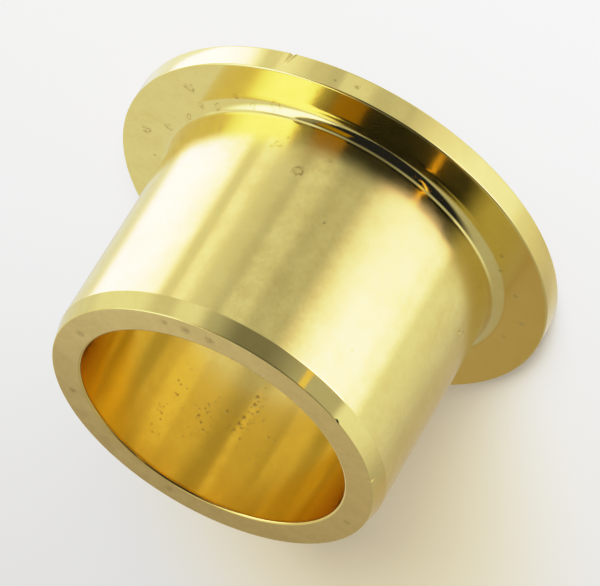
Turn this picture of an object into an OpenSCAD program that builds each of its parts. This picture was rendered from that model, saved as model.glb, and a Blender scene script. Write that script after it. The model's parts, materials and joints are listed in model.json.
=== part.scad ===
// Flanged sleeve bushing, turned from one bar of bearing bronze.
// Millimetres. The bore axis is Z. The flange's outer face lies on z = 0 and
// the sleeve points up, so the bushing stands on its flange.

/* [Bore] */
// Diameter of the bore, the size of the shaft it carries
bore_d = 20; // [14:0.5:21]
// Edge break at both mouths of the bore, the same along and across
bore_break = 0.15; // [0.05:0.05:0.5]

/* [Sleeve] */
// Outside diameter of the sleeve, pressed into the housing
sleeve_d = 25; // [24.5:0.5:28]
// Overall length, flange included
overall_l = 20; // [8:0.5:60]
// Length of the lead-in taper at the sleeve's free end
lead_in_l = 1.3; // [0.5:0.1:2]
// Angle of the lead-in taper, measured from the bore axis
lead_in_angle = 14; // [5:1:20]

/* [Flange] */
// Outside diameter of the flange
flange_d = 33; // [32:0.5:48]
// Thickness of the flange
flange_t = 1.8; // [1:0.1:4]
// Edge break at both corners of the flange's rim, the same along and across
rim_break = 0.12; // [0.05:0.01:0.4]
// Radius of the fillet between the sleeve and the flange's shoulder
fillet_r = 0.9; // [0.2:0.1:1.4]

/* [Hidden] */
$fn = 180;

bore_r = bore_d / 2;
sleeve_r = sleeve_d / 2;
flange_r = flange_d / 2;
// Outer radius of the flat end face, where the lead-in taper ends
end_r = sleeve_r - lead_in_l * tan(lead_in_angle);

// Half section of the sleeve's wall, from the flange's outer face to the
// free end. X is the distance from the bore axis and Y is the height.
module sleeve_section() {
    polygon([
        [bore_r + bore_break, 0],
        [sleeve_r, 0],
        [sleeve_r, overall_l - lead_in_l],
        [end_r, overall_l],
        [bore_r + bore_break, overall_l],
        [bore_r, overall_l - bore_break],
        [bore_r, bore_break],
    ]);
}

// Half section of the flange, from inside the sleeve's wall to the rim
module flange_section() {
    polygon([
        [bore_r + bore_break, 0],
        [flange_r - rim_break, 0],
        [flange_r, rim_break],
        [flange_r, flange_t - rim_break],
        [flange_r - rim_break, flange_t],
        [bore_r + bore_break, flange_t],
    ]);
}

// Half section of the fillet: a square in the corner, hollowed by a circle
// that touches both the sleeve and the shoulder
module fillet_section() {
    difference() {
        translate([sleeve_r, flange_t])
            square(fillet_r);
        translate([sleeve_r + fillet_r, flange_t + fillet_r])
            circle(fillet_r);
    }
}

module flanged_bushing() {
    color("#CDB45E")
        rotate_extrude() {
            sleeve_section();
            flange_section();
            fillet_section();
        }
}

flanged_bushing();
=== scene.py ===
"""Looks of a flanged sleeve bushing, turned from one bar of bearing bronze.

The bushing is one solid of revolution. It stands on its flange at the origin, with the bore
along +Z, and the camera looks at it from the -Y side. Lengths are written in millimetres and
turned to metres where a mesh is made.
"""

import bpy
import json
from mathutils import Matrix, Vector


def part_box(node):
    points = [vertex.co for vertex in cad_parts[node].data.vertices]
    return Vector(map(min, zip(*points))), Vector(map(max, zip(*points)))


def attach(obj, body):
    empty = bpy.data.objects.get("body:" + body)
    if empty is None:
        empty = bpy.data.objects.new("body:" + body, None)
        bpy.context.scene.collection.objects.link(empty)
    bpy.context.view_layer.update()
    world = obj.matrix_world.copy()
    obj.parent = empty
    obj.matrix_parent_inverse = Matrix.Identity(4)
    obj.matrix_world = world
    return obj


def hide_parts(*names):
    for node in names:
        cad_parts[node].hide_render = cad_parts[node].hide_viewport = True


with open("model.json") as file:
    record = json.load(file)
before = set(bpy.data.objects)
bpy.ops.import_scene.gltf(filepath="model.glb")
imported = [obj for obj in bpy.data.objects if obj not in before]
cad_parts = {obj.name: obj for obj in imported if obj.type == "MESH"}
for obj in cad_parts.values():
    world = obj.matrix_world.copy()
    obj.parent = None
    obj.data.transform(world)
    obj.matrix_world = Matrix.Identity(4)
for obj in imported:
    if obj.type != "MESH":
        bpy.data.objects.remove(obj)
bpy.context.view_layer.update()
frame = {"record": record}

import json
import logging
import math
from dataclasses import dataclass, field
from enum import IntEnum

import bpy
import numpy as np
from mathutils import Matrix, Vector

log = logging.getLogger("bushing")
MM = 0.001
NODE = "flanged_bushing"


def srgb(code: str, level: float = 1.0) -> tuple[float, float, float, float]:
    """Turns an sRGB hex colour to linear light.

    Args:
        code: Colour as "#RRGGBB".
        level: Factor on the linear colour, above 1 for a lamp.

    Returns:
        Linear red, green, blue, and an alpha of 1.
    """
    share = np.array([int(code[i:i + 2], 16) for i in (1, 3, 5)]) / 255
    linear = np.where(share <= 0.04045, share / 12.92, ((share + 0.055) / 1.055) ** 2.4) * level
    return (*linear.tolist(), 1.0)


def add_node(
    tree: bpy.types.NodeTree,
    kind: str,
    inputs: dict[int | str, object] | None = None,
    **settings: object,
) -> bpy.types.Node:
    """Adds one node to a tree, with its settings and links.

    Args:
        tree: Node tree that gets the node.
        kind: Blender's name for the kind of node.
        inputs: A value, or the output socket to link, for each input by name or number.
        settings: The node's own properties.

    Returns:
        The new node.
    """
    node = tree.nodes.new(kind)
    for name, value in settings.items():
        setattr(node, name, value)
    for key, value in (inputs or {}).items():
        if isinstance(value, bpy.types.NodeSocket):
            tree.links.new(value, node.inputs[key])
        else:
            node.inputs[key].default_value = value
    return node


def empty_tree(owner: bpy.types.Material | bpy.types.World) -> bpy.types.NodeTree:
    """Empties a material's or a world's node tree.

    Args:
        owner: The material or the world.

    Returns:
        Its tree, with no nodes.
    """
    owner.use_nodes = True
    owner.node_tree.nodes.clear()
    return owner.node_tree


def add_object(name: str, data: bpy.types.ID) -> bpy.types.Object:
    """Makes an object and links it to the scene.

    Args:
        name: Name of the object.
        data: Its mesh, light or camera.

    Returns:
        The new object.
    """
    made = bpy.data.objects.new(name, data)
    bpy.context.scene.collection.objects.link(made)
    return made


def straight(start: tuple[float, float], end: tuple[float, float], stops: np.ndarray) -> np.ndarray:
    """Points on a straight line: start plus the way to the end times each stop.

    Args:
        start: Distance from the bore axis and height of the first end.
        end: The same for the other end, which the next run starts with.
        stops: Shares of the way, from 0 to less than 1.

    Returns:
        One row for each point.
    """
    return np.asarray(start) + (np.asarray(end) - np.asarray(start)) * stops[:, None]


def bend(centre: tuple[float, float], radius: float, angles: tuple[float, float], steps: int) -> np.ndarray:
    """Points on an arc: centre plus radius times the cosine and sine of each angle.

    Args:
        centre: Distance from the bore axis and height of the arc's centre.
        radius: Radius of the arc.
        angles: First and last angle in degrees, from straight outwards towards up.
        steps: Number of chords. The last point is left to the next run.

    Returns:
        One row for each point.
    """
    turn = np.radians(np.linspace(*angles, steps + 1)[:-1])
    return np.asarray(centre) + radius * np.column_stack([np.cos(turn), np.sin(turn)])


def held(length: float, steps: int, hold: float = 0.03) -> np.ndarray:
    """Even stops along a run, with one more close to each end that keeps the flat's shading flat.

    Args:
        length: Length of the run in millimetres.
        steps: Number of even steps.
        hold: Distance of the extra stops from the ends, in millimetres.

    Returns:
        Shares of the way, from 0 to less than 1.
    """
    even = np.linspace(0, 1, steps + 1)[:-1]
    return np.unique(np.concatenate([even, [hold / length, 1 - hold / length]]))


class Finish(IntEnum):
    """Which tool made a surface. The number is the mesh's material slot."""

    TURNED = 0
    FACED = 1
    BORED = 2
    # The rim, the shoulder, the fillet and the lead-in.
    FINE = 3


@dataclass(frozen=True)
class Section:
    """Half section of the bushing, in millimetres."""

    flange_r: float
    overall_l: float
    bore_r: float
    sleeve_r: float
    flange_t: float = 1.8
    lead_in_l: float = 1.3
    lead_in_deg: float = 14.0
    bore_break: float = 0.15
    rim_break: float = 0.12
    fillet_r: float = 0.9
    end_break: float = 0.06
    # Half length of the soft corner between the sleeve and the lead-in.
    corner_soft: float = 0.05
    # Chords in each broken edge and in the fillet.
    break_steps: int = 4
    fillet_steps: int = 12
    # Rows close to a corner keep the shading of the flat beside it flat.
    hold: float = 0.04
    # Heights with closer rows: the bore's casting pits, the sleeve's pit and the end edge's dings.
    bore_pits: tuple[float, float] = (10.4, 15.0)
    sleeve_pit: tuple[float, float] = (6.84, 7.16)
    dings_from: float = 19.35
    # Steps between the bore's rows, above the pits and among them.
    row_step: float = 0.2
    pit_row_step: float = 0.11

    @property
    def end_r(self) -> float:
        """Outer radius of the flat end face, where the lead-in taper ends."""
        return self.sleeve_r - self.lead_in_l * math.tan(math.radians(self.lead_in_deg))

    def on_lead_in(self, z: float) -> tuple[float, float]:
        """The lead-in's radius at a height, with the height."""
        return self.end_r + (self.overall_l - z) * math.tan(math.radians(self.lead_in_deg)), z

    def walk(self) -> tuple[np.ndarray, np.ndarray]:
        """Walks once round the section with the metal on the left.

        The walk goes out along the flange's face, up the rim, in along the shoulder, through the
        fillet, up the sleeve and the lead-in, in across the end face and down the bore. Every
        broken edge is an arc.

        Returns:
            Distance from the axis and height of each point, and the finish of the surface that
            starts there.
        """
        bore, sleeve, rim = self.bore_r, self.sleeve_r, self.flange_r
        top, thick, hold = self.overall_l, self.flange_t, self.hold
        rb, bb, soft, eb = self.rim_break, self.bore_break, self.corner_soft, self.end_break
        few = self.break_steps
        lead = math.radians(self.lead_in_deg)
        mouth = bore + bb
        shoulder_r = sleeve + self.fillet_r
        corner_z = top - self.lead_in_l
        # Centre of the small arc that touches both the lead-in and the end face.
        edge_r = self.end_r - eb * (1 / math.cos(lead) - math.tan(lead))
        edge_start = (edge_r + eb * math.cos(lead), top - eb + eb * math.sin(lead))
        pits_low, pits_high = self.bore_pits
        bore_z = np.concatenate([
            np.arange(top - bb, pits_high, -self.row_step),
            np.arange(pits_high, pits_low, -self.pit_row_step),
            np.linspace(pits_low, bb, 9)[:-1],
        ])
        foot_z = thick + self.fillet_r
        sleeve_z = np.unique(np.concatenate([
            np.linspace(foot_z, corner_z - soft, 15)[:-1],
            foot_z + np.array([hold, 3 * hold]),
            np.linspace(*self.sleeve_pit, 7),
            [corner_z - soft - hold],
        ]))
        lead_z = np.unique(np.concatenate([
            np.linspace(corner_z + soft, edge_start[1], 8)[:-1],
            np.linspace(self.dings_from, edge_start[1], 9)[:-1],
            [corner_z + soft + hold],
        ]))
        runs = [
            (straight((mouth, 0), (rim - rb, 0), held(rim - rb - mouth, 6)), Finish.FACED),
            (bend((rim - rb, rb), rb, (-90, 0), few), Finish.FINE),
            (straight((rim, rb), (rim, thick - rb), held(thick - 2 * rb, 15)), Finish.FINE),
            (bend((rim - rb, thick - rb), rb, (0, 90), few), Finish.FINE),
            (straight((rim - rb, thick), (shoulder_r, thick), held(rim - rb - shoulder_r, 7)), Finish.FINE),
            (bend((shoulder_r, foot_z), self.fillet_r, (270, 180), self.fillet_steps), Finish.FINE),
            (np.column_stack([np.full(len(sleeve_z), sleeve), sleeve_z]), Finish.TURNED),
            (np.array([(sleeve, corner_z - soft), self.on_lead_in(corner_z + soft * 0.5)]), Finish.FINE),
            (np.array([self.on_lead_in(z) for z in lead_z]), Finish.FINE),
            (bend((edge_r, top - eb), eb, (self.lead_in_deg, 90), few), Finish.TURNED),
            (straight((edge_r, top), (mouth, top), held(edge_r - mouth, 8)), Finish.FACED),
            (bend((mouth, top - bb), bb, (90, 180), few), Finish.BORED),
            (np.column_stack([np.full(len(bore_z), bore), bore_z]), Finish.BORED),
            (bend((mouth, bb), bb, (180, 270), few), Finish.BORED),
        ]
        points = np.concatenate([run for run, _ in runs])
        finish = np.concatenate([np.full(len(run), int(kind)) for run, kind in runs])
        return points, finish


@dataclass(frozen=True)
class Dent:
    """A small hollow in the surface, round unless its two half widths differ.

    around is the angle from the camera's side, positive towards +X, in degrees. The rest is in
    millimetres.
    """

    around: float
    r: float
    z: float
    across: float
    along: float
    depth: float

    def sink(self, angle: np.ndarray, points: np.ndarray) -> np.ndarray:
        """How far each point sinks: the depth times (1 - d squared) squared, within d = 1.

        d is the distance from the centre, with the part around the axis over one half width and
        the part along the section over the other.

        Args:
            angle: Angle of each column from the camera's side, in degrees.
            points: Distance from the axis and height of each row.

        Returns:
            One row for each row of the section, one column for each angle.
        """
        turn = np.radians((angle - self.around + 180) % 360 - 180) * self.r
        off = (points[:, 0] - self.r) ** 2 + (points[:, 1] - self.z) ** 2
        d2 = off[:, None] / self.along ** 2 + turn[None, :] ** 2 / self.across ** 2
        return self.depth * np.clip(1 - d2, 0, 1) ** 2


@dataclass(frozen=True)
class Notch:
    """A V-shaped nick that runs up the rim from its outer edge and narrows to a point.

    around and tip_around are the angles of its foot and its point from the camera's side, in
    degrees. The rest is in millimetres.
    """

    around: float = 30.2
    tip_around: float = 30.9
    height: float = 1.0
    half_width: float = 0.21
    depth: float = 0.16
    # Height and half width of the lip beside the nick.
    lip: float = 0.035
    lip_width: float = 0.09
    # How far inside the rim the nick reaches, and over how much of that it fades out.
    reach: float = 0.5
    fade: float = 0.4

    def sink(self, angle: np.ndarray, points: np.ndarray, rim: float) -> np.ndarray:
        """How far each point sinks: depth times what is left of the height times 1 - |offset| over
        the half width there. The metal pushed out stands beside the nick as a low lip.

        Args:
            angle: Angle of each column from the camera's side, in degrees.
            points: Distance from the axis and height of each row.
            rim: Radius of the rim.

        Returns:
            One row for each row of the section, one column for each angle.
        """
        left = np.clip(1 - points[:, 1] / self.height, 0, 1)
        on_rim = np.clip((points[:, 0] - rim + self.reach) / self.fade, 0, 1) * (points[:, 1] < self.height)
        middle = self.around + (self.tip_around - self.around) * (1 - left)
        offset = np.radians(angle[None, :] - middle[:, None]) * rim
        # Never quite 0, because the offset is divided by it.
        width = np.maximum(self.half_width * left, 1e-6)[:, None]
        hollow = self.depth * left[:, None] * np.clip(1 - np.abs(offset) / width, 0, 1)
        beside = (offset + width + self.lip_width) / self.lip_width
        ridge = self.lip * np.sqrt(left)[:, None] * np.clip(1 - beside ** 2, 0, 1)
        return (hollow - ridge) * on_rim[:, None]


@dataclass(frozen=True)
class Spot:
    """Place and size of a stain ring, a smudge or a pit's dark mouth.

    around is degrees from the camera's side, and the rest is in millimetres.
    """

    around: float
    r: float
    z: float
    size: float

    def centre(self) -> np.ndarray:
        """The spot's centre in metres."""
        turn = math.radians(self.around)
        return np.array([self.r * math.sin(turn), -self.r * math.cos(turn), self.z]) * MM


# Casting pits in the bore: angle from the camera's side in degrees, then height and size.
BORE_PITS = (
    (-170.3, 10.8, 0.20), (-168.9, 11.1, 0.17), (-169.6, 11.45, 0.22), (-167.2, 11.9, 0.20),
    (-168.8, 12.2, 0.13), (-170.8, 12.75, 0.20), (-168.1, 13.1, 0.13), (-171.2, 13.35, 0.21),
    (-169.6, 13.6, 0.12), (-171.7, 14.0, 0.18), (-168.0, 14.4, 0.15), (-178.2, 12.95, 0.18),
    (175.9, 12.8, 0.13), (174.0, 13.25, 0.12), (173.8, 13.7, 0.15), (172.9, 14.45, 0.17),
    (175.1, 14.8, 0.15), (177.3, 15.2, 0.13), (158.2, 13.2, 0.15), (160.1, 13.35, 0.14),
    (161.1, 14.15, 0.16), (158.7, 15.6, 0.15), (159.4, 16.1, 0.17), (160.3, 16.5, 0.15),
    (-157.9, 13.4, 0.14), (-154.6, 13.5, 0.13), (-157.0, 15.7, 0.12), (-163.0, 12.4, 0.12),
)


def specks() -> list[tuple[float, float, float]]:
    """Scatters specks too small for the mesh round the bore's pits.

    Returns:
        Angle from the camera's side in degrees, then height and size in millimetres, of each.
    """
    count, spread_deg, spread_z = 90, 3.5, 0.9
    rng = np.random.default_rng(7)
    near = np.array(BORE_PITS)[rng.integers(0, len(BORE_PITS), count)]
    around = near[:, 0] + rng.normal(0, spread_deg, count)
    z = near[:, 1] + rng.normal(0, spread_z, count)
    size = rng.uniform(0.04, 0.085, count)
    return list(zip(around.tolist(), z.tolist(), size.tolist()))


# Dried-drop rings: angle from the camera's side, distance from the axis, height and size.
STAINS = (
    (64.0, 14.8, 1.8, 0.42), (95.0, 14.7, 1.8, 0.40), (87.4, 13.4, 1.8, 0.34), (74.3, 12.9, 1.94, 0.26),
    (59.0, 12.8, 2.03, 0.34), (49.8, 13.4, 1.8, 0.24), (35.6, 12.9, 1.94, 0.42), (28.8, 12.5, 4.7, 0.34),
    (18.5, 12.5, 6.2, 0.42), (11.3, 12.5, 4.5, 0.16), (66.0, 13.2, 1.82, 0.30), (44.0, 12.75, 2.08, 0.26),
    (100.0, 12.5, 3.6, 0.25), (-128.0, 14.9, 1.8, 0.36), (-150.0, 12.5, 5.2, 0.34), (150.0, 14.2, 1.8, 0.30),
)
# Dark smudges, written like the rings.
SMUDGES = (
    (-50.8, 13.9, 1.8, 0.22), (-58.0, 13.3, 1.8, 0.20), (-68.2, 14.1, 1.8, 0.28), (-80.0, 14.8, 1.8, 0.30),
    (12.1, 16.5, 0.9, 0.26), (17.4, 16.5, 1.1, 0.14), (-91.0, 14.1, 1.8, 0.26),
    (105.5, 13.9, 1.8, 0.18), (27.0, 12.5, 4.0, 0.16), (-24.7, 12.5, 15.5, 0.14), (3.0, 12.5, 9.0, 0.12),
    (78.9, 11.0, 20.0, 0.42), (16.0, 11.1, 20.0, 0.50), (25.0, 11.2, 20.0, 0.45), (121.0, 11.1, 20.0, 0.36),
    (33.0, 11.4, 20.0, 0.30), (-97.0, 11.2, 20.0, 0.34), (30.5, 12.5, 5.0, 0.20), (178.0, 11.0, 20.0, 0.40),
)


# Share of stain across a dried-drop ring, by distance from its centre over its size. The wobble
# makes that distance uneven, and adds up to SPOT_WOBBLE to it.
RING_STOPS = ((0.0, 0.08), (1.25, 0.12), (1.55, 0.60), (1.72, 0.32), (1.98, 0.0))
SPOT_WOBBLE = 1.7


@dataclass(frozen=True)
class BronzeFinish:
    """Bearing bronze as one tool left it.

    A bare copper alloy, light yellow and mirror-like where it is turned: metallic, with a warm
    golden reflection that turns white towards the edges. Sizes are in millimetres and heights in
    micrometres.
    """

    name: str
    metal: str = "#F6E48D"
    tarnish: str = "#EBD27A"
    stain: str = "#8A7434"
    pit: str = "#7A5A22"
    roughness: float = 0.19
    spread: float = 0.1
    anisotropy: float = 0.85
    # The real feed is about 0.08 mm a turn, too fine to show, so the marks are drawn coarser.
    feed: float = 0.25
    feed_height: float = 0.25
    # Slow waves left by polishing with a cloth, which bend the reflections a little.
    wave: float = 3.5
    wave_height: float = 5.0
    cloud: float = 2.5
    cloud_share: float = 0.7
    # Painted shade, one side mixed darker towards the tarnish colour: its share, the way to
    # that side, and where it starts and is full along that way.
    side_shade: float = 0.0
    side_shade_to: tuple[float, float] = (0.0, 1.0)
    side_shade_over: tuple[float, float] = (-12.5, 12.5)
    # Roughness that full tarnish and full painted side shade add.
    haze: float = 0.0
    grain: float = 0.35
    grain_height: float = 1.5

    def material(self, round_length: float) -> bpy.types.Material:
        """Makes the material.

        Args:
            round_length: Length of the walk round the section in millimetres, which the UV map's
                height of 1 stands for.

        Returns:
            The new material.
        """
        made = bpy.data.materials.new(self.name)
        tree = empty_tree(made)
        place = add_node(tree, "ShaderNodeTexCoord").outputs["Object"]
        mm = add_node(tree, "ShaderNodeVectorMath", {0: place, "Scale": 1 / MM}, operation="SCALE").outputs[0]
        height = self.heights(tree, mm, round_length)
        clouds = add_node(
            tree, "ShaderNodeTexNoise",
            {"Vector": mm, "Scale": 1 / self.cloud, "Detail": 6.0, "Roughness": 0.8},
        ).outputs["Fac"]
        cloudy = add_node(
            tree, "ShaderNodeMapRange",
            {"Value": clouds, "From Min": 0.4, "From Max": 0.7, "To Max": self.cloud_share},
        ).outputs[0]
        # Painted shade: share of darkening towards one side.
        side = add_node(
            tree, "ShaderNodeVectorMath", {0: mm, 1: (*self.side_shade_to, 0.0)}, operation="DOT_PRODUCT"
        ).outputs["Value"]
        start, full = self.side_shade_over
        side_shading = add_node(
            tree, "ShaderNodeMapRange",
            {"Value": side, "From Min": start, "From Max": full, "To Max": self.side_shade},
            interpolation_type="SMOOTHSTEP",
        ).outputs[0]
        # Random tarnish plus the painted side shade, both mixed towards the tarnish colour.
        tarnish_and_side_shade = add_node(tree, "ShaderNodeMath", {0: cloudy, 1: side_shading}, use_clamp=True).outputs[0]
        body = add_node(
            tree, "ShaderNodeMix", {0: tarnish_and_side_shade, 6: srgb(self.metal), 7: srgb(self.tarnish)}, data_type="RGBA"
        ).outputs[2]
        ring, mouth = self.spots(tree, place, mm)
        stained = add_node(
            tree, "ShaderNodeMix", {0: ring, 6: body, 7: srgb(self.stain)}, data_type="RGBA"
        ).outputs[2]
        pitted = add_node(
            tree, "ShaderNodeMix", {0: mouth, 6: stained, 7: srgb(self.pit)}, data_type="RGBA"
        ).outputs[2]
        rough = add_node(
            tree, "ShaderNodeMapRange",
            {"Value": clouds, "From Min": 0.3, "From Max": 0.7,
             "To Min": self.roughness - self.spread / 2, "To Max": self.roughness + self.spread / 2},
        ).outputs[0]
        for share, more in ((tarnish_and_side_shade, self.haze), (ring, 0.25), (mouth, 0.35)):
            rough = add_node(
                tree, "ShaderNodeMath", {0: share, 1: more, 2: rough}, operation="MULTIPLY_ADD"
            ).outputs[0]
        relief = add_node(
            tree, "ShaderNodeBump", {"Height": height, "Strength": 1.0, "Distance": MM * MM}
        ).outputs[0]
        tangent = add_node(tree, "ShaderNodeTangent", direction_type="RADIAL", axis="Z").outputs[0]
        shader = add_node(
            tree, "ShaderNodeBsdfPrincipled",
            {"Base Color": pitted, "Metallic": 1.0, "Roughness": rough, "Normal": relief, "Tangent": tangent,
             # A quarter turn, because the marks run round the axis and scatter light across themselves.
             "Anisotropic": self.anisotropy, "Anisotropic Rotation": 0.25},
        )
        add_node(tree, "ShaderNodeOutputMaterial", {"Surface": shader.outputs[0]})
        return made

    def heights(
        self, tree: bpy.types.NodeTree, mm: bpy.types.NodeSocket, round_length: float
    ) -> bpy.types.NodeSocket:
        """Adds up the surface's relief: feed marks, slow waves and fine grain.

        Args:
            tree: The material's tree.
            mm: Object coordinates in millimetres.
            round_length: Length of the walk round the section in millimetres.

        Returns:
            The height in micrometres.
        """
        way = add_node(tree, "ShaderNodeUVMap", uv_map="turning").outputs[0]
        walk = add_node(tree, "ShaderNodeSeparateXYZ", {0: way}).outputs[1]
        turns = add_node(
            tree, "ShaderNodeMath", {0: walk, 1: round_length / self.feed}, operation="MULTIPLY"
        ).outputs[0]
        slow = add_node(tree, "ShaderNodeVectorMath", {0: mm, "Scale": 0.12}, operation="SCALE").outputs[0]
        parts = add_node(tree, "ShaderNodeSeparateXYZ", {0: slow})
        lathe = add_node(
            tree, "ShaderNodeCombineXYZ", {0: parts.outputs[0], 1: parts.outputs[1], 2: turns}
        ).outputs[0]
        marks = add_node(
            tree, "ShaderNodeTexNoise", {"Vector": lathe, "Scale": 1.0, "Detail": 1.0}
        ).outputs["Fac"]
        total = add_node(
            tree, "ShaderNodeMath", {0: marks, 1: self.feed_height}, operation="MULTIPLY"
        ).outputs[0]
        for size, detail, high in ((self.wave, 1.0, self.wave_height), (self.grain, 2.0, self.grain_height)):
            part = add_node(
                tree, "ShaderNodeTexNoise", {"Vector": mm, "Scale": 1 / size, "Detail": detail}
            ).outputs["Fac"]
            total = add_node(
                tree, "ShaderNodeMath", {0: part, 1: high, 2: total}, operation="MULTIPLY_ADD"
            ).outputs[0]
        return total

    def spots(
        self, tree: bpy.types.NodeTree, place: bpy.types.NodeSocket, mm: bpy.types.NodeSocket
    ) -> tuple[bpy.types.NodeSocket, bpy.types.NodeSocket]:
        """Adds the dried-drop rings, the smudges and the pits' dark mouths.

        Each face names its nearest spot's centre and size, so the distance from that centre over
        the size, plus a noise that makes it uneven, gives the ring, the smudge and the mouth.

        Args:
            tree: The material's tree.
            place: Object coordinates.
            mm: Object coordinates in millimetres.

        Returns:
            The share of stain, and the share of pit, from 0 to 1.
        """
        wobble = add_node(
            tree, "ShaderNodeTexNoise", {"Vector": mm, "Scale": 4.2, "Detail": 3.0}
        ).outputs["Fac"]
        found = []
        for kind in ("stain", "smudge", "pit"):
            centre = add_node(tree, "ShaderNodeAttribute", attribute_name=f"{kind}_centre").outputs["Vector"]
            size = add_node(tree, "ShaderNodeAttribute", attribute_name=f"{kind}_size").outputs["Fac"]
            apart = add_node(
                tree, "ShaderNodeVectorMath", {0: place, 1: centre}, operation="DISTANCE"
            ).outputs["Value"]
            share = add_node(tree, "ShaderNodeMath", {0: apart, 1: size}, operation="DIVIDE").outputs[0]
            found.append(add_node(
                tree, "ShaderNodeMath", {0: wobble, 1: SPOT_WOBBLE, 2: share}, operation="MULTIPLY_ADD"
            ).outputs[0])
        ring = add_node(tree, "ShaderNodeValToRGB", {0: found[0]})
        self.fill_ramp(ring, RING_STOPS)
        # The rings are broken: they fade where a second noise is low.
        patchy = add_node(
            tree, "ShaderNodeTexNoise", {"Vector": mm, "Scale": 3.3, "Detail": 2.0}
        ).outputs["Fac"]
        kept = add_node(
            tree, "ShaderNodeMapRange", {"Value": patchy, "From Min": 0.38, "From Max": 0.62, "To Min": 0.15},
        ).outputs[0]
        broken = add_node(
            tree, "ShaderNodeMath", {0: ring.outputs[0], 1: kept}, operation="MULTIPLY"
        ).outputs[0]
        smudge = add_node(
            tree, "ShaderNodeMapRange",
            {"Value": found[1], "From Min": 0.9, "From Max": 1.9, "To Min": 0.42, "To Max": 0.0},
        ).outputs[0]
        marked = add_node(tree, "ShaderNodeMath", {0: broken, 1: smudge}, operation="MAXIMUM").outputs[0]
        mouth = add_node(
            tree, "ShaderNodeMapRange",
            {"Value": found[2], "From Min": 1.0, "From Max": 2.1, "To Min": 0.48, "To Max": 0.0},
        ).outputs[0]
        return marked, mouth

    @staticmethod
    def fill_ramp(ramp: bpy.types.Node, stops: tuple[tuple[float, float], ...]) -> None:
        """Gives a ramp its stops, with places counted from 0 to 2 and each level as a grey.

        Args:
            ramp: The colour ramp. Its input is halved by a Math node put before it.
            stops: Place and level of each stop, in order.
        """
        tree = ramp.id_data
        way = ramp.inputs[0].links[0].from_socket
        half = add_node(tree, "ShaderNodeMath", {0: way, 1: 0.5}, operation="MULTIPLY").outputs[0]
        tree.links.new(half, ramp.inputs[0])
        elements = ramp.color_ramp.elements
        while len(elements) < len(stops):
            elements.new(0.5)
        for element, (at, level) in zip(elements, stops):
            element.position = at / 2
            element.color = (level, level, level, 1.0)


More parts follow.
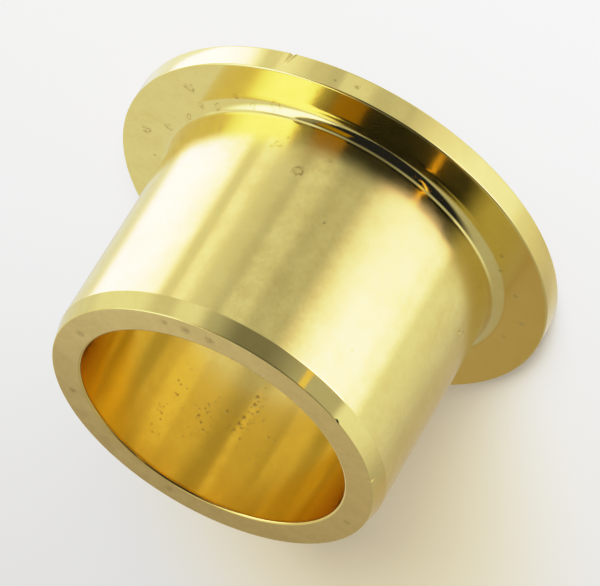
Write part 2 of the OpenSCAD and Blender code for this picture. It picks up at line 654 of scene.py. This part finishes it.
@dataclass
class Bushing:
    """The whole part: one closed surface of revolution with its small dents."""

    section: Section
    dents: list[Dent] = field(default_factory=list)
    notch: Notch = field(default_factory=Notch)
    # First, last and step in degrees of the mesh's crowded columns: at the rim's nick, the end
    # edge's nick, its ding, the sleeve's pit and the bore's pits.
    crowded: tuple[tuple[float, float, float], ...] = (
        (28.4, 32.4, 0.1), (-36.5, -30.5, 0.25), (-68.0, -59.5, 0.4), (-62.5, -60.7, 0.1),
        (156.0, 208.0, 0.5),
    )

    def angles(self) -> np.ndarray:
        """Angles of the columns in degrees: every whole degree, and closer ones where there are marks."""
        close = [np.arange(first, last, step) for first, last, step in self.crowded]
        return np.unique(np.round(np.concatenate([np.arange(0, 360, 1.0), *close]) % 360, 2))

    def surface(self) -> tuple[np.ndarray, np.ndarray, np.ndarray, np.ndarray]:
        """Carries the section round the axis and sinks the dents.

        A point is (r sin a, -r cos a, z) for its column's angle a, after r and z have moved
        inwards along the section's normal by the sum of the dents.

        Returns:
            Positions in metres as rows x columns x 3, each row's way round the section in
            millimetres with the whole way at the end, the angles, and each row's finish.
        """
        points, finish = self.section.walk()
        angle = self.angles()
        onward = np.roll(points, -1, 0) - np.roll(points, 1, 0)
        normal = np.column_stack([onward[:, 1], -onward[:, 0]])
        normal /= np.linalg.norm(normal, axis=1, keepdims=True)
        sink = sum(dent.sink(angle, points) for dent in self.dents)
        # The nick goes straight towards the axis, whatever the section's normal.
        nick = self.notch.sink(angle, points, self.section.flange_r)
        r = points[:, :1] - sink * normal[:, :1] - nick
        z = points[:, 1:] - sink * normal[:, 1:]
        turn = np.radians(angle)[None, :]
        positions = np.stack([r * np.sin(turn), -r * np.cos(turn), z + 0 * turn], axis=2) * MM
        steps = np.linalg.norm(np.roll(points, -1, 0) - points, axis=1)
        way = np.concatenate([[0], np.cumsum(steps)])
        return positions, way, angle, finish

    def build(self) -> bpy.types.Object:
        """Makes the mesh object, closed in both directions, with its UV map and its spots.

        Returns:
            The new object, linked to the scene.
        """
        positions, way, angle, finish = self.surface()
        rows, columns = positions.shape[:2]
        i, j = np.meshgrid(np.arange(rows), np.arange(columns), indexing="ij")
        up, on = (i + 1) % rows, (j + 1) % columns
        corners = np.stack([i * columns + j, i * columns + on, up * columns + on, up * columns + j], axis=2)
        mesh = bpy.data.meshes.new(NODE)
        mesh.from_pydata(positions.reshape(-1, 3), [], corners.reshape(-1, 4))
        mesh.polygons.foreach_set("material_index", np.repeat(finish, columns).astype(np.int32))
        mesh.polygons.foreach_set("use_smooth", np.ones(rows * columns, bool))
        share = np.append(angle, angle[0] + 360) / 360
        height = way / way[-1]
        u = np.stack([share[j], share[j + 1], share[j + 1], share[j]], axis=2)
        v = np.stack([height[i], height[i], height[i + 1], height[i + 1]], axis=2)
        layer = mesh.uv_layers.new(name="turning")
        layer.data.foreach_set("uv", np.stack([u, v], axis=3).astype(np.float32).ravel())
        for kind, spots in self.spots().items():
            self.name_nearest(mesh, positions.reshape(-1, 3)[corners.reshape(-1, 4)].mean(1), kind, spots)
        made = add_object(f"{NODE}_body", mesh)
        mesh.validate()
        mesh.update()
        return made

    def spots(self) -> dict[str, list[Spot]]:
        """The stain rings, the smudges and the pits' mouths."""
        return {
            "stain": [Spot(*row) for row in STAINS],
            "smudge": [Spot(*row) for row in SMUDGES],
            "pit": [Spot(around, self.section.bore_r, z, size * 0.7) for around, z, size in BORE_PITS]
            + [Spot(around, self.section.bore_r, z, size) for around, z, size in specks()]
            + [Spot(-61.6, self.section.sleeve_r, 7.0, 0.15), Spot(-64.0, self.section.sleeve_r, 6.5, 0.08)],
        }

    @staticmethod
    def name_nearest(mesh: bpy.types.Mesh, positions: np.ndarray, kind: str, spots: list[Spot]) -> None:
        """Writes each face's nearest spot as attributes: the spot's centre and its size in metres.

        Args:
            mesh: Mesh that gets the attributes.
            positions: Middles of the faces, in metres.
            kind: First part of the attributes' names.
            spots: The spots to choose from.
        """
        centres = np.array([spot.centre() for spot in spots])
        sizes = np.array([spot.size for spot in spots]) * MM
        apart = np.stack([np.linalg.norm(positions - centre, axis=1) for centre in centres])
        nearest = apart.argmin(0)
        centre = mesh.attributes.new(f"{kind}_centre", "FLOAT_VECTOR", "FACE")
        centre.data.foreach_set("vector", centres[nearest].astype(np.float32).ravel())
        size = mesh.attributes.new(f"{kind}_size", "FLOAT", "FACE")
        size.data.foreach_set("value", sizes[nearest].astype(np.float32))

    def dress(self, piece: bpy.types.Object) -> None:
        """Gives the piece its finishes, in the order of Finish.

        Args:
            piece: The built object.
        """
        way = self.surface()[1][-1]
        finishes = (
            # Turned and polished: reflections sharp round the axis and drawn out along it.
            BronzeFinish("turned_bearing_bronze"),
            # Faced with a wide tool and left matt: a soft tan sheen instead of a reflection.
            BronzeFinish(
                "faced_bearing_bronze", metal="#F0DA90", tarnish="#C8AF6C", roughness=0.36, spread=0.08,
                anisotropy=0.3, feed=0.2, feed_height=0.4, wave_height=0.5, cloud_share=0.35,
                # Painted shade: darker towards +Y, for the darker surroundings the face mirrors on that side.
                side_shade=0.75, grain=0.25, grain_height=0.4,
            ),
            # Bored and reamed: a glossy wall with the reamer's marks round it.
            BronzeFinish(
                "bored_bearing_bronze", metal="#EFD67A", tarnish="#E0C263", roughness=0.13, spread=0.05,
                anisotropy=0.7, feed=0.3, feed_height=0.3, wave=3.0, wave_height=3.0, cloud=2.0,
                cloud_share=0.5, haze=0.06, grain_height=0.5,
            ),
            # Cut finer than the sleeve: mirrors darker and sharper, but is hazy where it was handled.
            BronzeFinish(
                "fine_turned_bearing_bronze", roughness=0.085, spread=0.04, anisotropy=0.5, wave_height=2.0,
                # Painted shade: darker and hazier towards -X, which dims the rim's reflection of the left
                # softbox.
                cloud=1.8, cloud_share=0.5, side_shade=0.9, side_shade_to=(-1.0, 0.0), side_shade_over=(9.0, 13.0), haze=0.1,
                grain_height=0.25,
            ),
        )
        for finish in finishes:
            piece.data.materials.append(finish.material(way))


@dataclass(frozen=True)
class Card:
    """A soft-edged card of the light tent, by where it stands as seen from the bushing.

    around is degrees from the camera's side, positive towards +X, and height is degrees above the
    floor's level: the first and last of each. fade is the width of the blurred edge at each of
    those four limits.
    """

    name: str
    around: tuple[float, float]
    height: tuple[float, float]
    level: float
    fade: tuple[float, float, float, float] = (8, 8, 3, 3)
    colour: str = "#FFFFFF"


def lay_cards(
    tree: bpy.types.NodeTree, way: bpy.types.NodeSocket, cards: tuple[Card, ...], level: float
) -> bpy.types.NodeSocket:
    """Lays soft-edged cards over an even grey, each over the ones before it.

    The angle around is the arctangent of x over -y, and the height is the arcsine of z. A card's
    share is the product of four smooth steps, one at each of its edges.

    Args:
        tree: Node tree that gets the nodes.
        way: Direction from the bushing, of length 1.
        cards: The cards, the lowest first.
        level: Brightness of the grey.

    Returns:
        The colour seen in that direction.
    """
    axes = add_node(tree, "ShaderNodeSeparateXYZ", {0: way}).outputs
    back = add_node(tree, "ShaderNodeMath", {0: axes[1], 1: -1.0}, operation="MULTIPLY").outputs[0]
    turn = add_node(tree, "ShaderNodeMath", {0: axes[0], 1: back}, operation="ARCTAN2").outputs[0]
    around = add_node(tree, "ShaderNodeMath", {0: turn}, operation="DEGREES").outputs[0]
    rise = add_node(tree, "ShaderNodeMath", {0: axes[2]}, operation="ARCSINE").outputs[0]
    height = add_node(tree, "ShaderNodeMath", {0: rise}, operation="DEGREES").outputs[0]
    shown = add_node(tree, "ShaderNodeRGB").outputs[0]
    shown.default_value = (level, level, level, 1.0)
    for card in cards:
        share = None
        for angle, (first, last), (before, after) in (
            (around, card.around, card.fade[:2]), (height, card.height, card.fade[2:])
        ):
            middle, half = (first + last) / 2, (last - first) / 2
            off = add_node(tree, "ShaderNodeMath", {0: angle, 1: middle}, operation="SUBTRACT").outputs[0]
            off = add_node(tree, "ShaderNodeMath", {0: off, 1: 180.0, 2: -180.0}, operation="WRAP").outputs[0]
            for edge, fade in ((-half, before), (half, -after)):
                step = add_node(
                    tree, "ShaderNodeMapRange",
                    {"Value": off, "From Min": edge - fade / 2, "From Max": edge + fade / 2},
                    interpolation_type="SMOOTHSTEP",
                ).outputs[0]
                share = step if share is None else add_node(
                    tree, "ShaderNodeMath", {0: share, 1: step}, operation="MULTIPLY"
                ).outputs[0]
        shown = add_node(
            tree, "ShaderNodeMix", {0: share, 6: shown, 7: srgb(card.colour, card.level)},
            data_type="RGBA", clamp_result=False, label=card.name,
        ).outputs[2]
    return shown


TENT = (
    Card("right_wall", (108, 180), (-90, 90), 0.75, (8, 1, 3, 3)),
    Card("back_left_wall", (-180, -168), (10, 60), 0.42, (1, 6, 4, 4), "#FFE6B3"),
    # Below the level of the bushing: what the sleeve and the rim mirror.
    Card("floor_front", (-29, 17), (-90, -24), 0.62, (18, 5, 3, 3)),
    Card("floor_front_seam", (-6.0, -2.0), (-90, -24), 0.56, (3, 2, 3, 3)),
    Card("floor_front_dip", (6, 14), (-90, -24), 0.58, (4, 3, 3, 3)),
    Card("floor_left", (-116, -40), (-90, -24), 0.88, (64, 10, 4, 3)),
    Card("floor_left_warm", (-180, -125), (-31, -8), 0.54, (1, 20, 3, 4), "#FFF0D8"),
    Card("floor_left_far", (-180, -128), (-90, -31.6), 0.66, (1, 24, 3, 1)),
    Card("softbox_left_spill", (-76, -16), (-31.8, -20), 1.3, (12, 26, 1, 4), "#FFF2F2"),
    Card("floor_left_near", (-76, -26), (-90, -31.8), 1.25, (12, 60, 1, 1), "#FFF2F2"),
    Card("softbox_left", (-75, -22), (-28.5, -13), 5.0, (10, 34, 7, 4), "#FFE8F0"),
    Card("floor_right", (16.5, 34.5), (-90, -24), 0.80, (5, 7, 3, 3)),
    Card("floor_right_dip", (33, 41), (-90, -24), 0.57, (4, 4, 3, 3)),
    Card("floor_right_mid", (40, 50), (-90, -24), 0.66, (4, 4, 3, 3)),
    Card("floor_right_far", (48, 78), (-90, -24), 0.62, (6, 3, 3, 3)),
    Card("floor_right_glow", (56, 66), (-90, -24), 1.9, (10, 3, 3, 3), "#FFE8E8"),
    Card("softbox_low_right", (76.5, 134), (-60, -23), 3.3, (6, 8, 4, 3), "#FFE2E8"),
    Card("softbox_low_right_core", (92, 127), (-60, -23), 4.9, (24, 10, 4, 3), "#F4E0FF"),
    Card("floor_right_near", (50, 82), (-90, -31.8), 0.88, (6, 9, 1, 1)),
    Card("floor_right_end", (137, 165), (-90, -24), 0.93, (5, 16, 3, 3)),
    # Level with the bushing: what the lead-in mirrors.
    Card("wall_left_glow", (-98, -61), (-24, 8), 0.97, (56, 8, 3, 4)),
    Card("camera_side", (-20, 23), (-18, 20), 0.20, (34, 20, 6, 6)),
    Card("wall_right_dip", (50, 78), (-24, 8), 0.66),
    Card("wall_right_near", (38, 56), (-24, 8), 0.88, (12, 8, 3, 4)),
    Card("wall_right", (74, 116), (-24, 8), 0.94, (14, 12, 3, 4)),
    Card("warm_strip", (-34.8, -30.4), (-12, 8), 0.95, (2.0, 2.0, 4, 4), "#FFDB80"),
    # Above: what the shoulder and the foot of the sleeve mirror in each other.
    Card("room_dark", (-75, 53), (8, 95), 0.03, (26, 4, 8, 8), "#B8C2FF"),
    Card("door_frame", (43, 56), (12, 60), 0.26, (4, 4, 4, 4)),
    Card("softbox_right", (55.5, 98), (10, 70), 2.7, (4, 34, 6, 6)),
    Card("warm_door", (20.5, 42), (16, 45), 0.33, (3, 3, 4, 4), "#FFC400"),
    Card("warm_strip_high", (-36.8, -35.6), (10, 46), 3.4, (0.6, 0.6, 4, 4), "#FFC850"),
)
# Seen through the bore, all at one height.
BOWL = (
    Card("table_left", (-145, -73), (-90, 90), 0.70, (3, 34, 1, 1)),
    Card("table_left_edge", (-143, -130), (-90, 90), 0.95, (3, 4, 1, 1)),
    Card("table_front_left", (-62, -6), (-90, 90), 0.80, (8, 24, 1, 1)),
    Card("table_right_near", (32, 67), (-90, 90), 0.82, (16, 3, 1, 1)),
    Card("table_right", (65, 116), (-90, 90), 1.06, (5, 4, 1, 1)),
    Card("table_right_far", (117, 176), (-90, 90), 0.82, (4, 54, 1, 1)),
)


@dataclass(frozen=True)
class Lamp:
    """A round lamp by its place as seen from the bushing.

    around and height are degrees, like a card's. distance and size are in metres and power in
    watts.
    """

    name: str
    around: float
    height: float
    distance: float
    size: float
    power: float


# Low and nearly behind the camera, so the sleeve's soft shadow lies across the lower right.
KEY_LAMP = Lamp("key_lamp", around=15.0, height=17.0, distance=0.38, size=0.23, power=5.4)


@dataclass
class Studio:
    """Pale floor, light tent, lamp and camera. Lengths are in millimetres and angles in degrees."""

    tent_level: float = 0.47
    room_level: float = 0.52
    backdrop: str = "#EFEFEF"
    floor_colour: str = "#F2F2F2"
    floor_far: str = "#E2E1DE"
    floor_glow: str = "#F6E6C2"
    bowl_level: float = 0.51
    bowl_glow: float = 1.1
    glossy_bounces: int = 10
    # The floor reaches the horizon of every view.
    floor_half: float = 4000.0
    camera_lens: float = 235.9
    camera_distance: float = 271.0
    camera_height: float = 29.66
    # Sideways part of the way to the camera, towards +X.
    camera_aside: float = 0.0017
    # The roll brings the sleeve towards the lower left.
    camera_roll: float = 148.87
    # From the box's centre to the point aimed at.
    aim: tuple[float, float, float] = (-0.40, 0.0, -2.61)

    def floor(self) -> None:
        """Makes the pale floor at height 0."""
        side = np.array([-self.floor_half, self.floor_half]) * MM
        x, y = np.meshgrid(side, side)
        corners = np.column_stack([x.ravel(), y.ravel(), np.zeros(4)])
        mesh = bpy.data.meshes.new("floor")
        mesh.from_pydata(corners, [], [(0, 1, 3, 2)])
        made = add_object("floor", mesh)
        # The tent's own lower half stands for the floor in the metal's reflections.
        made.visible_glossy = False
        paper = bpy.data.materials.new("matt_paper")
        tree = empty_tree(paper)
        # Warm light that the bronze throws on the paper behind it: a soft oval patch, whose share is
        # 1 less the distance from its middle over its half length and half width.
        place = add_node(tree, "ShaderNodeTexCoord").outputs["Object"]
        oval = add_node(
            tree, "ShaderNodeMapping",
            {"Vector": place, "Location": (-0.013, 0.036, 0), "Rotation": (0, 0, math.radians(14)),
             "Scale": (0.020, 0.042, 1)},
            vector_type="TEXTURE",
        ).outputs[0]
        away = add_node(tree, "ShaderNodeVectorMath", {0: oval}, operation="LENGTH").outputs["Value"]
        share = add_node(
            tree, "ShaderNodeMapRange", {"Value": away, "From Min": 1.3, "From Max": 0.3},
            interpolation_type="SMOOTHSTEP",
        ).outputs[0]
        # The paper's light falls off away from the lamp, towards -X and +Y.
        off = add_node(
            tree, "ShaderNodeVectorMath", {0: place, 1: (-0.7, 0.5, 0.0)}, operation="DOT_PRODUCT"
        ).outputs["Value"]
        far = add_node(
            tree, "ShaderNodeMapRange", {"Value": off, "From Min": -8 * MM, "From Max": 28 * MM},
            interpolation_type="SMOOTHSTEP",
        ).outputs[0]
        white = add_node(
            tree, "ShaderNodeMix",
            {0: far, 6: srgb(self.floor_colour), 7: srgb(self.floor_far)}, data_type="RGBA",
        ).outputs[2]
        paint = add_node(
            tree, "ShaderNodeMix", {0: share, 6: white, 7: srgb(self.floor_glow)}, data_type="RGBA",
        ).outputs[2]
        shader = add_node(tree, "ShaderNodeBsdfPrincipled", {"Base Color": paint, "Roughness": 0.9})
        add_node(tree, "ShaderNodeOutputMaterial", {"Surface": shader.outputs[0]})
        mesh.materials.append(paper)

    def bowl(self, radius: float, top: float, bottom: float) -> None:
        """Makes the lit wall below the floor, which only the bore's wall mirrors.

        It stands for the table and what lies on it, seen through the bore. The floor can't do this,
        because it's left out of the reflections.

        Args:
            radius: Radius of the wall in metres.
            top: Height of its upper edge in metres, below the lines that the sleeve and the rim
                mirror.
            bottom: Height of its lower edge in metres.
        """
        step_deg = 5
        turn = np.radians(np.arange(0, 360, step_deg))
        count = len(turn)
        ring = np.column_stack([radius * np.sin(turn), -radius * np.cos(turn), 0 * turn])
        edges = [ring + (0, 0, top), ring + (0, 0, bottom)]
        here = np.arange(count)
        on = (here + 1) % count
        mesh = bpy.data.meshes.new("bowl")
        mesh.from_pydata(np.concatenate(edges), [], np.column_stack([here, here + count, on + count, on]))
        made = add_object("bowl", mesh)
        made.visible_camera = False
        made.visible_diffuse = False
        made.visible_shadow = False
        lit = bpy.data.materials.new("lit_wall")
        tree = empty_tree(lit)
        place = add_node(tree, "ShaderNodeTexCoord").outputs["Object"]
        way = add_node(tree, "ShaderNodeVectorMath", {0: place}, operation="NORMALIZE").outputs[0]
        shown = lay_cards(tree, way, BOWL, self.bowl_level)
        glow = add_node(tree, "ShaderNodeEmission", {0: shown, "Strength": self.bowl_glow})
        add_node(tree, "ShaderNodeOutputMaterial", {"Surface": glow.outputs[0]})
        mesh.materials.append(lit)

    @staticmethod
    def tone() -> None:
        """Sets the display curve.

        Colours stay as they are up to 0.6, with a soft shoulder above, so that bright reflections on
        the bronze keep their cream colour and don't clip.
        """
        view = bpy.context.scene.view_settings
        view.view_transform = "Standard"
        view.use_curve_mapping = True
        curves = view.curve_mapping
        brightest = 4.0
        curves.white_level = (brightest, brightest, brightest)
        points = curves.curves[3].points
        shoulder = (
            (0.0, 0.0), (0.6, 0.6), (0.8, 0.74), (1.0, 0.815), (1.5, 0.905), (2.2, 0.965), (4.0, 0.995)
        )
        while len(points) < len(shoulder):
            points.new(0.5, 0.5)
        for point, (light, shown) in zip(points, shoulder):
            point.location = (light / brightest, shown)
        for straight_end in points[:2]:
            straight_end.handle_type = "VECTOR"
        curves.update()

    def tent(self) -> None:
        """Makes the world: a plain pale room for the floor, and the tent's cards for reflections."""
        world = bpy.data.worlds.new("studio")
        bpy.context.scene.world = world
        # The world isn't sampled as a light, because the tent shows in reflections only.
        world.cycles.sampling_method = "NONE"
        # Light goes round the bore's wall several times before it leaves.
        bpy.context.scene.cycles.glossy_bounces = self.glossy_bounces
        tree = empty_tree(world)
        way = add_node(tree, "ShaderNodeTexCoord").outputs["Generated"]
        shown = lay_cards(tree, way, TENT, self.tent_level)
        rays = add_node(tree, "ShaderNodeLightPath").outputs
        grey = (self.room_level,) * 3 + (1.0,)
        room = add_node(
            tree, "ShaderNodeMix",
            {0: rays["Is Camera Ray"], 6: grey, 7: srgb(self.backdrop)}, data_type="RGBA",
        ).outputs[2]
        light = add_node(
            tree, "ShaderNodeMix", {0: rays["Is Glossy Ray"], 6: room, 7: shown}, data_type="RGBA"
        ).outputs[2]
        sky = add_node(tree, "ShaderNodeBackground", {"Color": light, "Strength": 1.0})
        add_node(tree, "ShaderNodeOutputWorld", {"Surface": sky.outputs[0]})

    @staticmethod
    def lamp(lamp: Lamp, target: Vector) -> None:
        """Makes one round soft lamp that lights the floor.

        Args:
            lamp: Where it stands and how strong it is.
            target: Point that the lamp faces, in metres.
        """
        data = bpy.data.lights.new(lamp.name, "AREA")
        data.shape = "DISK"
        data.size = lamp.size
        data.energy = lamp.power
        made = add_object(lamp.name, data)
        turn, rise = math.radians(lamp.around), math.radians(lamp.height)
        way = Vector((math.sin(turn) * math.cos(rise), -math.cos(turn) * math.cos(rise), math.sin(rise)))
        made.location = target + way * lamp.distance
        made.rotation_euler = way.to_track_quat("Z", "Y").to_euler()
        # The metal mirrors the tent's softboxes, which stand for the lamp.
        made.visible_glossy = False

    def camera(self, middle: Vector) -> bpy.types.Object:
        """Makes the camera, raised over the horizon and rolled round its line of sight.

        Args:
            middle: Centre of the CAD box, in metres.

        Returns:
            The camera, made the scene's own.
        """
        rise, roll = math.radians(self.camera_height), math.radians(self.camera_roll)
        aim = middle + Vector(self.aim) * MM
        away = Vector((self.camera_aside, -math.cos(rise), math.sin(rise))).normalized()
        level_right = Vector((0, 0, 1)).cross(away).normalized()
        level_up = away.cross(level_right)
        up = level_up * math.cos(roll) + level_right * math.sin(roll)
        right = up.cross(away)
        data = bpy.data.cameras.new("camera")
        data.sensor_width = 36.0
        data.lens = self.camera_lens
        made = add_object("camera", data)
        turned = Matrix((right, up, away)).transposed().to_4x4()
        turned.translation = aim + away * self.camera_distance * MM
        made.matrix_world = turned
        data.clip_start = 0.01
        data.clip_end = 20.0
        bpy.context.scene.camera = made
        return made


def find_dents(section: Section) -> list[Dent]:
    """The hollows that are in the mesh: the bore's pits, drawn out along the bore, and the knocks.

    Args:
        section: Half section of the bushing.

    Returns:
        Every dent.
    """
    across, along, depth = 0.5, 0.9, 0.08
    pits = [
        Dent(around, section.bore_r, z, size * across, size * along, size * depth)
        for around, z, size in BORE_PITS
    ]
    return pits + [
        # Nick on the edge between the lead-in and the end face.
        Dent(-33.4, 12.16, 19.98, 0.3, 0.14, 0.04),
        # Ding on the same edge, further round.
        Dent(-63.0, 12.2, 19.9, 0.2, 0.3, 0.07),
        Dent(-66.0, 12.28, 19.62, 0.25, 0.16, 0.03),
        # Pit in the sleeve.
        Dent(-61.6, section.sleeve_r, 7.0, 0.16, 0.16, 0.09),
    ]


def main() -> None:
    """Builds the studio and the bushing, in order."""
    logging.basicConfig(level=logging.INFO, format="%(name)s: %(message)s")
    low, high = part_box(NODE)
    mounts = {mount["name"]: mount["dims"] for mount in frame["record"]["mounts"]}
    section = Section(
        flange_r=min(high.x, -low.x) / MM,
        overall_l=(high.z - low.z) / MM,
        bore_r=mounts["bore"]["r_mm"],
        sleeve_r=mounts["sleeve_od"]["r_mm"],
    )
    studio = Studio()
    middle = (low + high) / 2
    camera = studio.camera(middle)
    log.info("camera, lens %.1f mm", camera.data.lens)
    studio.tent()
    studio.lamp(KEY_LAMP, middle)
    studio.floor()
    studio.bowl(radius=22.0 * MM, top=-4.7 * MM, bottom=-40.0 * MM)
    studio.tone()
    log.info("floor, tent of %d cards and lamp", len(TENT))
    bushing = Bushing(section, find_dents(section))
    body = bushing.build()
    bushing.dress(body)
    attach(body, "root")
    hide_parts("flanged_bushing")
    triangles = sum(len(face.vertices) - 2 for face in body.data.polygons)
    log.info("%s, %d triangles", body.name, triangles)


if __name__ == "__main__":
    main()
